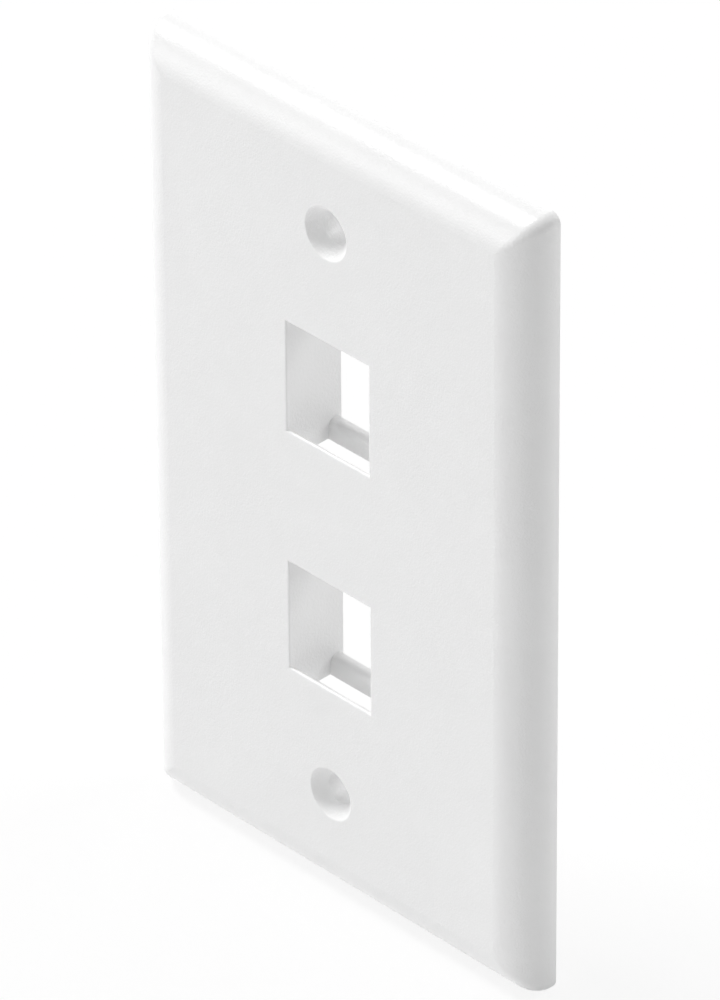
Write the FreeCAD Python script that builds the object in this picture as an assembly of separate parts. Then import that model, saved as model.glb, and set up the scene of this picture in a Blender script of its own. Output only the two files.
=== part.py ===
"""Two-port keystone faceplate for a single-gang wall box, moulded in one piece.

Frame, in millimetres: X runs across the plate, Z runs up it and the front faces -Y.
The origin is the middle of the plate in the wall plane, which its back rim rests on.
A depth is measured from the front face towards the wall.
"""
import FreeCAD, Part

import math
import os

# ---------------------------------------------------------------- plate
plate_width = 69.85
plate_height = 114.3
plate_depth = 5.9            # wall plane to front face
panel_thickness = 2.3        # front wall
rim_wall = 2.3               # edge wall, where it meets the wall plane
edge_radius = 5.4            # round of the four front edges
least_band = 0.2             # straight part of the edge that the round always leaves
corner_radius = 1.5          # outline corners, and the creases that run from them to the face
pocket_fillet = 2.0          # inside edges of the hollow back
mouth_radius = 0.25          # front edges of the ports and the screw holes

# ---------------------------------------------------------------- screw holes
screw_spacing = 83.34
screw_bore = 4.3
countersink_mouth = 7.4
countersink_angle = 82.0     # included angle
boss_diameter = 9.2          # at its tip, in the wall plane

# ---------------------------------------------------------------- keystone ports
port_count = 2
port_pitch = 35.6
port_width = 14.8
port_height = 16.1
socket_depth = 9.4           # front face to the socket's rear edge
socket_wall = 1.8            # at the rear edge
socket_corner = 0.8          # outside corners of the socket
lip_land = 0.3               # flat top of the thin lip below the port
lip_slope = 40.0             # fall of the lip's bevel, from there to the back of the front wall
catch_bar_depth = 7.1        # front of the bar that the jack's latch snaps behind
catch_bar_drop = 1.6         # top of the bar, below the port
catch_bar_radius = 1.1       # round on the front of its top
latch_window = 4.3           # underside of the bar and foot of the side walls, below the port
lug_recess = 2.0             # roof of the lug recess, above the port
lug_recess_depth = 6.5       # front of that recess
lug_catch_depth = 8.0        # front of the catch that the jack's fixed lug hooks over
lead_in = 0.6                # slope on the rear corner of both catches

# ---------------------------------------------------------------- stiffening
rib_thickness = 1.4
rib_setback = 0.8            # ribs stop short of the wall plane
draft_angle = 1.0            # on walls that stand across the front wall

# ---------------------------------------------------------------- places
overlap = 0.2                # how far joined forms run into each other
past = 2.0                   # how far cutters run past a face
face_y = -plate_depth
pocket_y = face_y + panel_thickness
edge_round = min(edge_radius, plate_depth - least_band)
socket_end_y = face_y + socket_depth
screw_heights = (-screw_spacing / 2, screw_spacing / 2)
port_heights = [(i - (port_count - 1) / 2) * port_pitch for i in range(port_count)]


def point(x, y, z):
    return FreeCAD.Vector(x, y, z)


def draft_over(length):
    """Sideways growth of a drafted wall over this length."""
    return length * math.tan(math.radians(draft_angle))


def runs_across(edge, length):
    """True for an edge that crosses this length of Y from end to end."""
    ends = [v.Y for v in edge.Vertexes]
    return len(ends) == 2 and abs(abs(ends[0] - ends[1]) - length) < 1e-4


def lies_at(edge, y):
    """True for an edge that lies flat in the plane at this Y."""
    box = edge.BoundBox
    return abs(box.YMin - y) < 1e-4 and abs(box.YMax - y) < 1e-4


def drafted_block(width, height, y_given, y_grown, z=0.0):
    """Block across Y with the given size at one plane, grown on each side by the draft at the other."""
    growth = draft_over(abs(y_grown - y_given))
    (low_y, low), (high_y, high) = sorted([(y_given, 0.0), (y_grown, growth)])
    x, up = width / 2, height / 2
    return Part.makeWedge(-x - low, low_y, z - up - low, z - up - high, -x - high,
                          x + low, high_y, z + up + low, z + up + high, x + high)


# ---------------------------------------------------------------- plate
def rounded_bar(width, height, runs_along):
    """Plate-deep bar with its two long front edges rounded. runs_along picks their direction."""
    bar = Part.makeBox(width, plate_depth, height, point(-width / 2, face_y, -height / 2))
    front = [e for e in bar.Edges if lies_at(e, face_y) and runs_along(e.BoundBox) > overlap]
    return bar.makeFillet(edge_round, front)


def plate_skin():
    """Solid plate: two crossed bars leave mitred front corners, which are then softened."""
    upright = rounded_bar(plate_width, plate_height + past, lambda box: box.ZLength)
    level = rounded_bar(plate_width + past, plate_height, lambda box: box.XLength)
    plate = upright.common(level).removeSplitter()
    mitres = [e for e in plate.Edges if runs_across(e, edge_round)]
    return plate.makeFillet(corner_radius, mitres)


def rear_pocket():
    """Cutter for the hollow back, rounded at its upright corners and round its floor."""
    growth = 2 * draft_over(-pocket_y)
    width = plate_width - 2 * rim_wall - growth
    height = plate_height - 2 * rim_wall - growth
    pocket = drafted_block(width, height, pocket_y, past)
    rounded = [e for e in pocket.Edges if not lies_at(e, past)]
    return pocket.makeFillet(pocket_fillet, rounded)


# ---------------------------------------------------------------- screw holes
def screw_boss(z):
    """Tapered post that carries the screw's pull to the wall plane."""
    length = overlap - pocket_y
    tip = boss_diameter / 2
    foot = tip + draft_over(length)
    return Part.makeCone(foot, tip, length, point(0, pocket_y - overlap, z), point(0, 1, 0))


def screw_hole(z):
    """Cutter: a countersink in the face and the bore through the boss."""
    mouth = countersink_mouth / 2
    bore = screw_bore / 2
    slope = math.tan(math.radians(countersink_angle / 2))
    profile = [
        point(0, face_y - past, z),
        point(mouth + past * slope, face_y - past, z),
        point(bore, face_y + (mouth - bore) / slope, z),
        point(bore, past, z),
        point(0, past, z),
        point(0, face_y - past, z),
    ]
    return Part.Face(Part.makePolygon(profile)).revolve(point(0, 0, z), point(0, 1, 0), 360)


# ---------------------------------------------------------------- keystone sockets
def socket_block(z):
    """Roof, side walls and catch bar of a port, before the core is cut out between them."""
    width = port_width + 2 * socket_wall
    top = port_height / 2 + lug_recess + socket_wall
    bottom = port_height / 2 + latch_window
    foot_y = pocket_y - overlap
    block = drafted_block(width, top + bottom, socket_end_y, foot_y, z + (top - bottom) / 2)
    upright = [e for e in block.Edges if runs_across(e, socket_end_y - foot_y)]
    return block.makeFillet(socket_corner, upright)


def socket_core(z):
    """Cutter with a port's side profile: opening, open latch window, lug recess and both catches."""
    top = z + port_height / 2
    bottom = z - port_height / 2

    def at(depth, height):
        return point(-port_width / 2, face_y + depth, height)

    bevel = (panel_thickness - lip_land) * math.tan(math.radians(lip_slope))
    below_window = bottom - latch_window - past
    bar_top = bottom - catch_bar_drop
    bend = catch_bar_radius * (1 - math.sqrt(0.5))
    nose = Part.Arc(
        at(catch_bar_depth, bar_top - catch_bar_radius),
        at(catch_bar_depth + bend, bar_top - bend),
        at(catch_bar_depth + catch_bar_radius, bar_top),
    )
    below = [
        at(-past, bottom),
        at(lip_land, bottom),
        at(panel_thickness, bottom - bevel),
        at(panel_thickness, below_window),
        at(catch_bar_depth, below_window),
        nose.StartPoint,
    ]
    above = [
        nose.EndPoint,
        at(socket_depth - lead_in, bar_top),
        at(socket_depth + past, bar_top - lead_in - past),
        at(socket_depth + past, top + lead_in + past),
        at(socket_depth - lead_in, top),
        at(lug_catch_depth, top),
        at(lug_catch_depth, top + lug_recess),
        at(lug_recess_depth, top + lug_recess),
        at(lug_recess_depth, top),
        at(-past, top),
        at(-past, bottom),
    ]
    edges = Part.makePolygon(below).Edges + [nose.toShape()] + Part.makePolygon(above).Edges
    return Part.Face(Part.Wire(edges)).extrude(point(port_width, 0, 0))


# ---------------------------------------------------------------- ribs
def rib(width, height, x=0.0, z=0.0):
    """Thin wall on the back of the front wall, centred on (x, z)."""
    foot_y = pocket_y - overlap
    corner = point(x - width / 2, foot_y, z - height / 2)
    return Part.makeBox(width, -rib_setback - foot_y, height, corner)


def rails():
    """Two upright ribs in line with the sockets' side walls, from end wall to end wall."""
    x = (port_width + socket_wall) / 2
    length = plate_height - 2 * (rim_wall - overlap)
    return [rib(rib_thickness, length, side * x) for side in (-1, 1)]


def boss_ribs():
    """Level rib across each screw boss, from rail to rail, clear of the latch windows."""
    return [rib(port_width + socket_wall, rib_thickness, z=z) for z in screw_heights]


# ---------------------------------------------------------------- whole moulding
def soften_mouths(plate):
    """Small radius on the front edges of the ports and the screw holes."""
    reach = max(port_width, countersink_mouth) / 2 + mouth_radius
    mouths = [e for e in plate.Edges if lies_at(e, face_y) and e.BoundBox.XMax < reach
              and e.BoundBox.XMin > -reach]
    return plate.makeFillet(mouth_radius, mouths)


def faceplate():
    plate = plate_skin().cut(rear_pocket())
    bosses = [screw_boss(z) for z in screw_heights]
    sockets = [socket_block(z) for z in port_heights]
    plate = plate.multiFuse(bosses + sockets + rails() + boss_ribs())
    cores = [socket_core(z) for z in port_heights]
    holes = [screw_hole(z) for z in screw_heights]
    return soften_mouths(plate.cut(cores + holes).removeSplitter())


os.makedirs("parts", exist_ok=True)
plate = faceplate()
print("solids", len(plate.Solids), "valid", plate.isValid(), "faces", len(plate.Faces))
print("volume cm3", round(plate.Volume / 1000, 2), plate.BoundBox)
plate.exportStep("parts/faceplate.step")
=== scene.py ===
"""Studio scene for the keystone faceplate: its white plastic, the floor, the lamps and the camera.

Lengths are in metres, in the part's own frame: the plate stands upright and its front faces -Y.
"""

import bpy
import numpy as np
from mathutils import Matrix, Vector


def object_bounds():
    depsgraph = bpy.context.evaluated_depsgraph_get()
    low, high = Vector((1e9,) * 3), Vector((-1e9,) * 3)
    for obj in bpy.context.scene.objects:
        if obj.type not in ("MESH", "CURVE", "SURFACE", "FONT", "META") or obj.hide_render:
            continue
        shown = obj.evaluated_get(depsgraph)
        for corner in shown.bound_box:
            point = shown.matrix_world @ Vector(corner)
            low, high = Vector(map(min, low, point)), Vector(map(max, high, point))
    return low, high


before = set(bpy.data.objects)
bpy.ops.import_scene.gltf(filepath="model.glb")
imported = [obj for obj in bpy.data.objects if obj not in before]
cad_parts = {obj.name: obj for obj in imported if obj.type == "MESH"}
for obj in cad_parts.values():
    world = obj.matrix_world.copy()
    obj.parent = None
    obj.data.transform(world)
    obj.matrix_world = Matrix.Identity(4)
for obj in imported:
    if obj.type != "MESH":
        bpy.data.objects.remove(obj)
cad_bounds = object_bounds()

# ---------------------------------------------------------------- plastic
plastic_tones = (0.853, 0.867)     # the white's faint clouding, as reflectance
plastic_roughness = (0.31, 0.37)   # satin, a little uneven
plastic_ior = 1.49
cloud_size = 0.012                 # spacing of that unevenness
cloud_octaves = 2
grain_size = 0.0003                # spacing of the mould texture's pits
grain_octaves = 3
grain_depth = 0.00005
grain_strength = 1.0
plastic_glow = 0.12                # share of the light that comes back out from under the surface
glow_depth = 0.0008
noise_range = (0.3, 0.7)           # most of what a noise gives lies in here

# ---------------------------------------------------------------- camera
view_azimuth = 46.6            # degrees round from the front, towards the plate's right
view_elevation = 32.9
view_roll = -0.4
view_distance = 1.22
view_reach = 20.0              # furthest that the camera sees
view_lens = 351.0              # millimetres
view_sensor = 36.0             # millimetres
view_aim = (-0.0003, 0.0002)   # across and up the picture, from the plate's centre

# ---------------------------------------------------------------- floor and lamps
floor_size = 8.0
floor_colour = (0.9, 0.9, 0.9)
floor_shadow = 0.15            # share of the floor's look that its light and shadow make
pure_white = (1, 1, 1)
world_level = 0.33
softbox_distance = 3.0
softboxes = {                  # azimuth, elevation, side and watts
    "key": (-75, 55, 0.7, 53),
    "front": (-30, 15, 1.6, 25),
    "back_left": (-135, 15, 1.6, 20),
    "back_right": (150, 30, 1.6, 33),
}


# ---------------------------------------------------------------- materials
def new_material(name):
    """Empty node material, as (material, nodes, links)."""
    material = bpy.data.materials.new(name)
    material.use_nodes = True
    nodes = material.node_tree.nodes
    nodes.clear()
    return material, nodes, material.node_tree.links


def noise(nodes, links, size, octaves):
    """Noise fixed to the piece, with blobs about this far apart, as an output from 0 to 1."""
    place = nodes.new("ShaderNodeTexCoord")
    texture = nodes.new("ShaderNodeTexNoise")
    texture.inputs["Scale"].default_value = 1 / size
    texture.inputs["Detail"].default_value = octaves
    links.new(place.outputs["Object"], texture.inputs["Vector"])
    return texture.outputs["Fac"]


def between(nodes, links, amount, low, high):
    """Value that goes from low to high as a noise's amount goes over its usual range."""
    spread = nodes.new("ShaderNodeMapRange")
    spread.inputs["From Min"].default_value = noise_range[0]
    spread.inputs["From Max"].default_value = noise_range[1]
    spread.inputs["To Min"].default_value = low
    spread.inputs["To Max"].default_value = high
    links.new(amount, spread.inputs["Value"])
    return spread.outputs["Result"]


def moulded_white():
    """White ABS from a spark-eroded mould: satin, with fine pits and a faint clouding."""
    material, nodes, links = new_material("moulded_white_plastic")
    out = nodes.new("ShaderNodeOutputMaterial")
    plastic = nodes.new("ShaderNodeBsdfPrincipled")
    plastic.inputs["IOR"].default_value = plastic_ior
    plastic.inputs["Subsurface Weight"].default_value = plastic_glow
    plastic.inputs["Subsurface Radius"].default_value = (1, 1, 1)   # as deep for every colour
    plastic.inputs["Subsurface Scale"].default_value = glow_depth
    clouds = noise(nodes, links, cloud_size, cloud_octaves)
    links.new(between(nodes, links, clouds, *plastic_tones), plastic.inputs["Base Color"])
    links.new(between(nodes, links, clouds, *plastic_roughness), plastic.inputs["Roughness"])
    pits = nodes.new("ShaderNodeBump")
    pits.inputs["Strength"].default_value = grain_strength
    pits.inputs["Distance"].default_value = grain_depth
    links.new(noise(nodes, links, grain_size, grain_octaves), pits.inputs["Height"])
    links.new(pits.outputs["Normal"], plastic.inputs["Normal"])
    links.new(plastic.outputs["BSDF"], out.inputs["Surface"])
    return material


def seen_directly(nodes, links):
    """1 for what the camera sees, straight or in a reflection or through a clear piece, and 0 for light."""
    path = nodes.new("ShaderNodeLightPath")
    seen = path.outputs["Is Camera Ray"]
    for ray in ("Is Glossy Ray", "Is Transmission Ray"):
        either = nodes.new("ShaderNodeMath")
        either.operation = "MAXIMUM"
        links.new(seen, either.inputs[0])
        links.new(path.outputs[ray], either.inputs[1])
        seen = either.outputs[0]
    return seen


def blend_to(nodes, links, share, first, second, surface):
    """Mix of two shaders, from the first at a share of 0 to the second at 1, laid on the surface input."""
    mix = nodes.new("ShaderNodeMixShader")
    links.new(share, mix.inputs["Fac"])
    links.new(first.outputs[0], mix.inputs[1])
    links.new(second.outputs[0], mix.inputs[2])
    links.new(mix.outputs[0], surface)


def lit_white(name, colour, shadow_share):
    """White studio surface: a plain matt one to the light, and nearly pure white to the eye."""
    material, nodes, links = new_material(name)
    out = nodes.new("ShaderNodeOutputMaterial")
    matt = nodes.new("ShaderNodeBsdfDiffuse")
    matt.inputs["Color"].default_value = (*colour, 1)
    white = nodes.new("ShaderNodeEmission")
    white.inputs["Color"].default_value = (*pure_white, 1)
    white.inputs["Strength"].default_value = 1.0
    share = nodes.new("ShaderNodeMath")
    share.operation = "MULTIPLY"
    share.inputs[1].default_value = 1 - shadow_share
    links.new(seen_directly(nodes, links), share.inputs[0])
    blend_to(nodes, links, share.outputs[0], matt, white, out.inputs["Surface"])
    return material


# ---------------------------------------------------------------- studio
def studio_floor():
    """Flat square floor, level with the plate's lower edge: half its size times each corner's signs."""
    signs = np.array([(-1, -1), (1, -1), (1, 1), (-1, 1)])
    heights = np.full(len(signs), cad_bounds[0][2])
    corners = np.column_stack([signs * floor_size / 2, heights])
    mesh = bpy.data.meshes.new("floor")
    mesh.from_pydata(corners.tolist(), [], [(0, 1, 2, 3)])
    floor = bpy.data.objects.new("floor", mesh)
    bpy.context.scene.collection.objects.link(floor)
    floor.data.materials.append(lit_white("studio_floor", floor_colour, floor_shadow))


def studio_world():
    """Even light from all round, and a white background."""
    world = bpy.data.worlds.new("studio")
    world.use_nodes = True
    nodes = world.node_tree.nodes
    links = world.node_tree.links
    nodes.clear()
    out = nodes.new("ShaderNodeOutputWorld")
    light = nodes.new("ShaderNodeBackground")
    light.inputs["Color"].default_value = (*pure_white, 1)
    light.inputs["Strength"].default_value = world_level
    white = nodes.new("ShaderNodeBackground")
    white.inputs["Color"].default_value = (*pure_white, 1)
    white.inputs["Strength"].default_value = 1.0
    blend_to(nodes, links, seen_directly(nodes, links), light, white, out.inputs["Surface"])
    bpy.context.scene.world = world


def outward(azimuth, elevation):
    """Direction from the plate's centre, in degrees round from its front and up from level."""
    a, e = np.radians([azimuth, elevation])
    return Vector((np.sin(a) * np.cos(e), -np.cos(a) * np.cos(e), np.sin(e)))


def softbox(name, azimuth, elevation, side, power):
    """Square area lamp on a sphere round the plate, turned to face its centre."""
    lamp = bpy.data.lights.new(name, "AREA")
    lamp.shape = "SQUARE"
    lamp.size = side
    lamp.energy = power
    holder = bpy.data.objects.new(name, lamp)
    bpy.context.scene.collection.objects.link(holder)
    way = outward(azimuth, elevation)
    holder.location = way * softbox_distance
    holder.rotation_mode = "QUATERNION"
    holder.rotation_quaternion = (-way).to_track_quat("-Z", "Y")
    holder.visible_camera = False


def camera():
    """Camera on a sphere round the plate's centre, with a long lens and a slight roll."""
    way = outward(view_azimuth, view_elevation)
    level = Vector((0, 0, 1)).cross(way).normalized()
    upright = way.cross(level)
    roll = np.radians(view_roll)
    right = level * np.cos(roll) + upright * np.sin(roll)
    up = upright * np.cos(roll) - level * np.sin(roll)
    lens = bpy.data.cameras.new("camera")
    lens.lens = view_lens
    lens.sensor_width = view_sensor
    lens.clip_end = view_reach
    holder = bpy.data.objects.new("camera", lens)
    bpy.context.scene.collection.objects.link(holder)
    place = way * view_distance + right * view_aim[0] + up * view_aim[1]
    axes = Matrix((right, up, way)).transposed()
    holder.matrix_world = Matrix.Translation(place) @ axes.to_4x4()
    bpy.context.scene.camera = holder


# ---------------------------------------------------------------- scene
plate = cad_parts["faceplate"]
plate.data.materials[0] = moulded_white()
studio_floor()
studio_world()
for name, setting in softboxes.items():
    softbox(name, *setting)
camera()
bpy.context.scene.view_settings.view_transform = "Standard"
